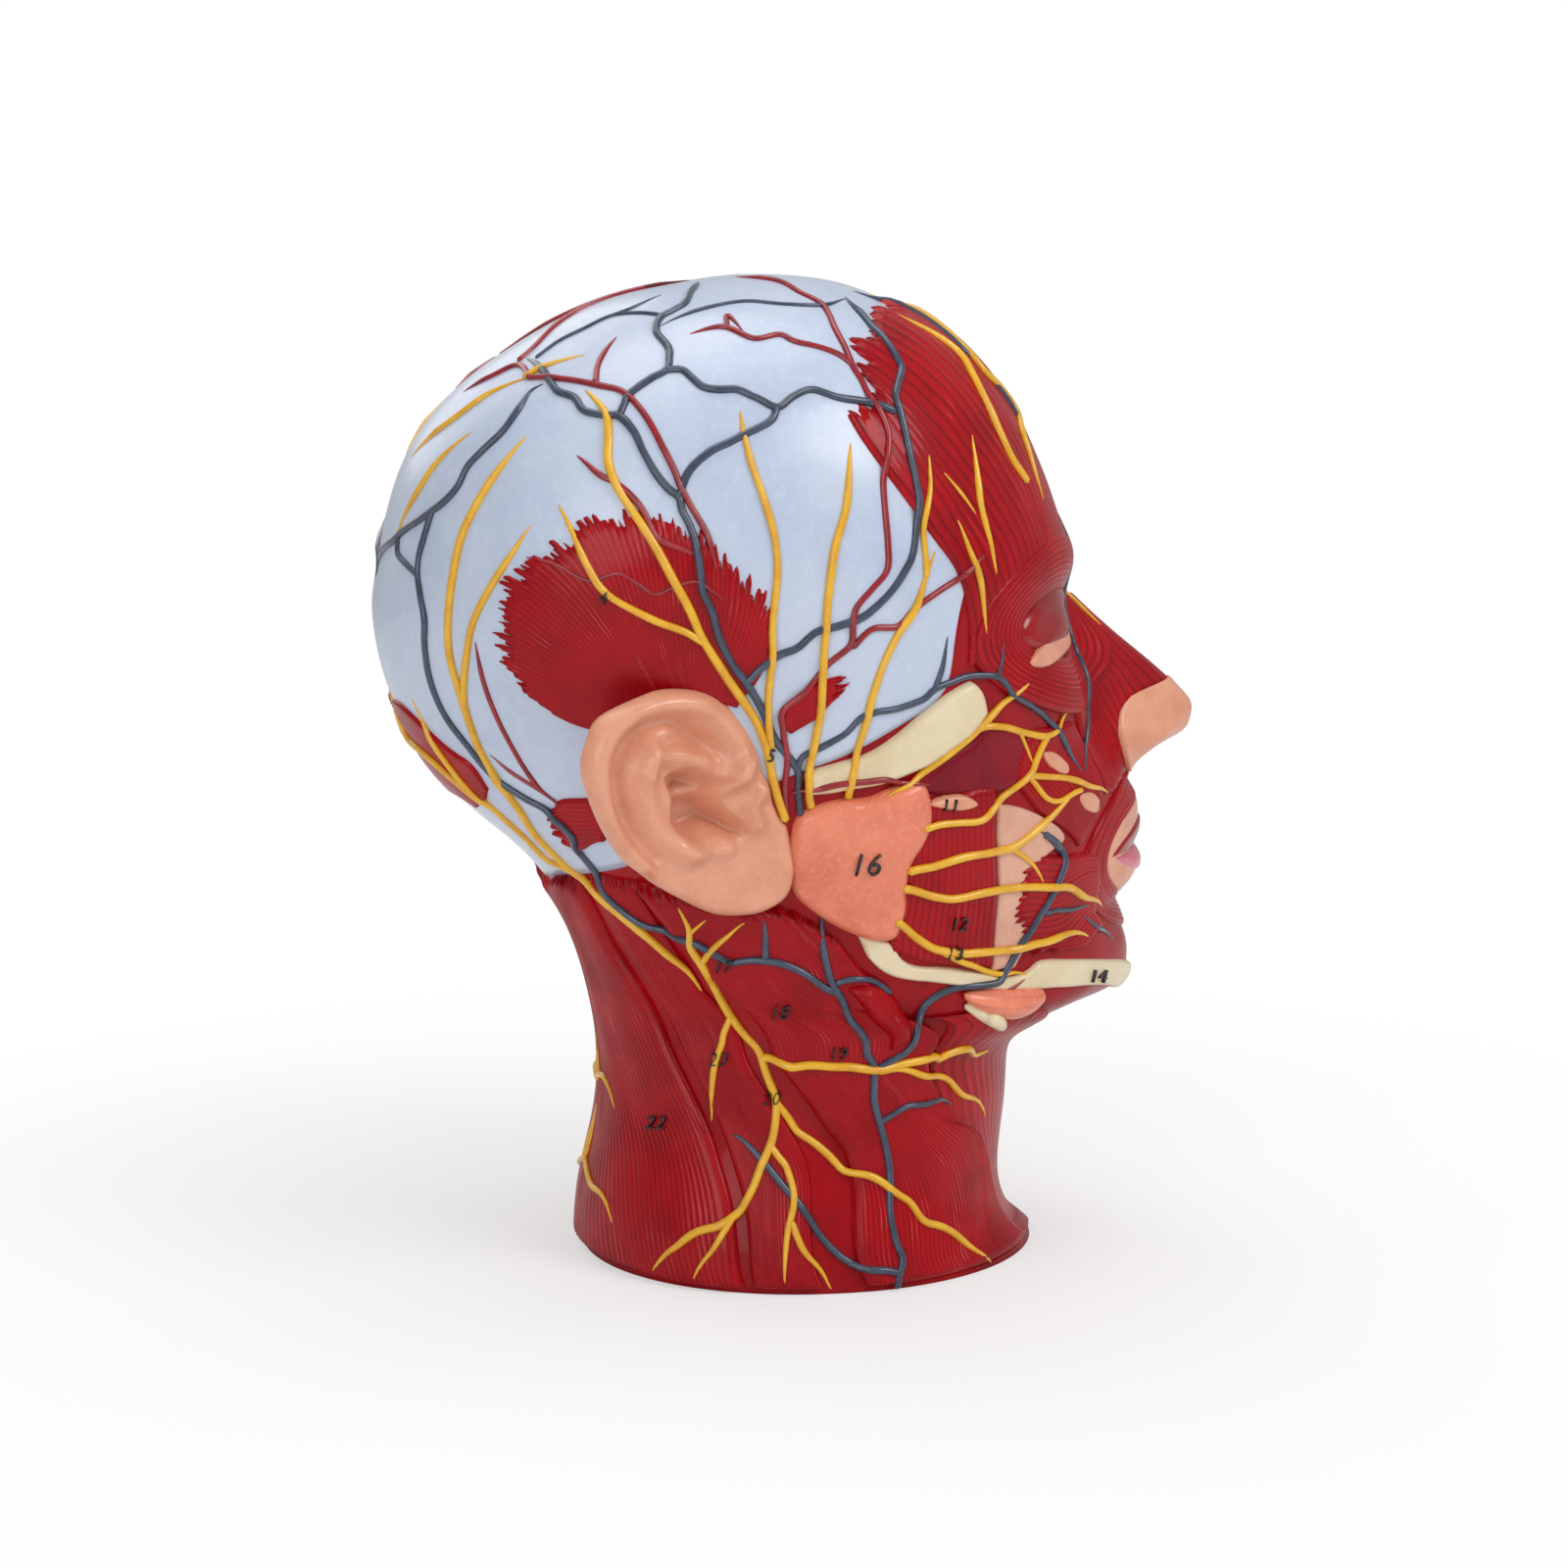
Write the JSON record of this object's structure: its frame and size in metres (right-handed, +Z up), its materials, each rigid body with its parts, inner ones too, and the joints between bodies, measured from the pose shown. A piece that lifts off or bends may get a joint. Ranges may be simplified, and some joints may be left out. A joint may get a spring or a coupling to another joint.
{
  "type": "anatomical head model",
  "caption": "Life-size teaching head on a flat-cut neck, with scalp, muscles, glands, bones, ears, nerves and vessels in painted relief.",
  "frame": {"origin": "centre of the flat base, in the plane that rests on the table", "axes": "+Z up from the base to the crown, the face towards -Y, the head's right side towards -X"},
  "size_m": [0.1724, 0.2291, 0.2682],
  "materials": {
    "scalp": "gloss",
    "muscle": "gloss",
    "flesh": "gloss",
    "gland": "gloss",
    "bone": "gloss",
    "buccal": "gloss",
    "nerve": "gloss",
    "vein": "gloss",
    "artery": "gloss",
    "plate": "matte"
  },
  "bodies": {
    "root": {"cranial_shell": "scalp", "face_neck_shell": "muscle", "base_plate": "plate", "nose_tip": "flesh", "lips": "flesh", "frontalis": "muscle", "mandible": "bone", "hyoid": "bone", "trapezius": "muscle", "infrahyoid_straps": "muscle", "eyelids_right": "flesh", "eyelids_left": "flesh", "orbicularis_oculi_right": "muscle", "orbicularis_oculi_left": "muscle", "zygomatic_arch_right": "bone", "zygomatic_arch_left": "bone", "parotid_gland_right": "gland", "parotid_gland_left": "gland", "masseter_right": "muscle", "masseter_left": "muscle", "buccal_strip_right": "buccal", "buccal_strip_left": "buccal", "zygomatic_muscle_right": "muscle", "zygomatic_muscle_left": "muscle", "submandibular_gland_right": "gland", "submandibular_gland_left": "gland", "superior_auricular_right": "muscle", "superior_auricular_left": "muscle", "anterior_auricular_right": "muscle", "anterior_auricular_left": "muscle", "posterior_auricular_right": "muscle", "posterior_auricular_left": "muscle", "occipitalis_right": "muscle", "occipitalis_left": "muscle", "sternocleidomastoid_right": "muscle", "sternocleidomastoid_left": "muscle", "ear_right": "flesh", "ear_left": "flesh", "temporal_artery_right": "artery", "temporal_artery_left": "artery", "scalp_veins_right": "vein", "scalp_veins_left": "vein", "jugular_vein_right": "vein", "jugular_vein_left": "vein", "facial_vein_right": "vein", "facial_vein_left": "vein", "auriculotemporal_nerve_right": "nerve", "auriculotemporal_nerve_left": "nerve", "temporal_branch_right": "nerve", "temporal_branch_left": "nerve", "zygomatic_branch_right": "nerve", "zygomatic_branch_left": "nerve", "buccal_branch_right": "nerve", "buccal_branch_left": "nerve", "supraorbital_nerve_right": "nerve", "supraorbital_nerve_left": "nerve", "occipital_nerve_right": "nerve", "occipital_nerve_left": "nerve", "cervical_plexus_right": "nerve", "cervical_plexus_left": "nerve"}
  },
  "joints": []
}
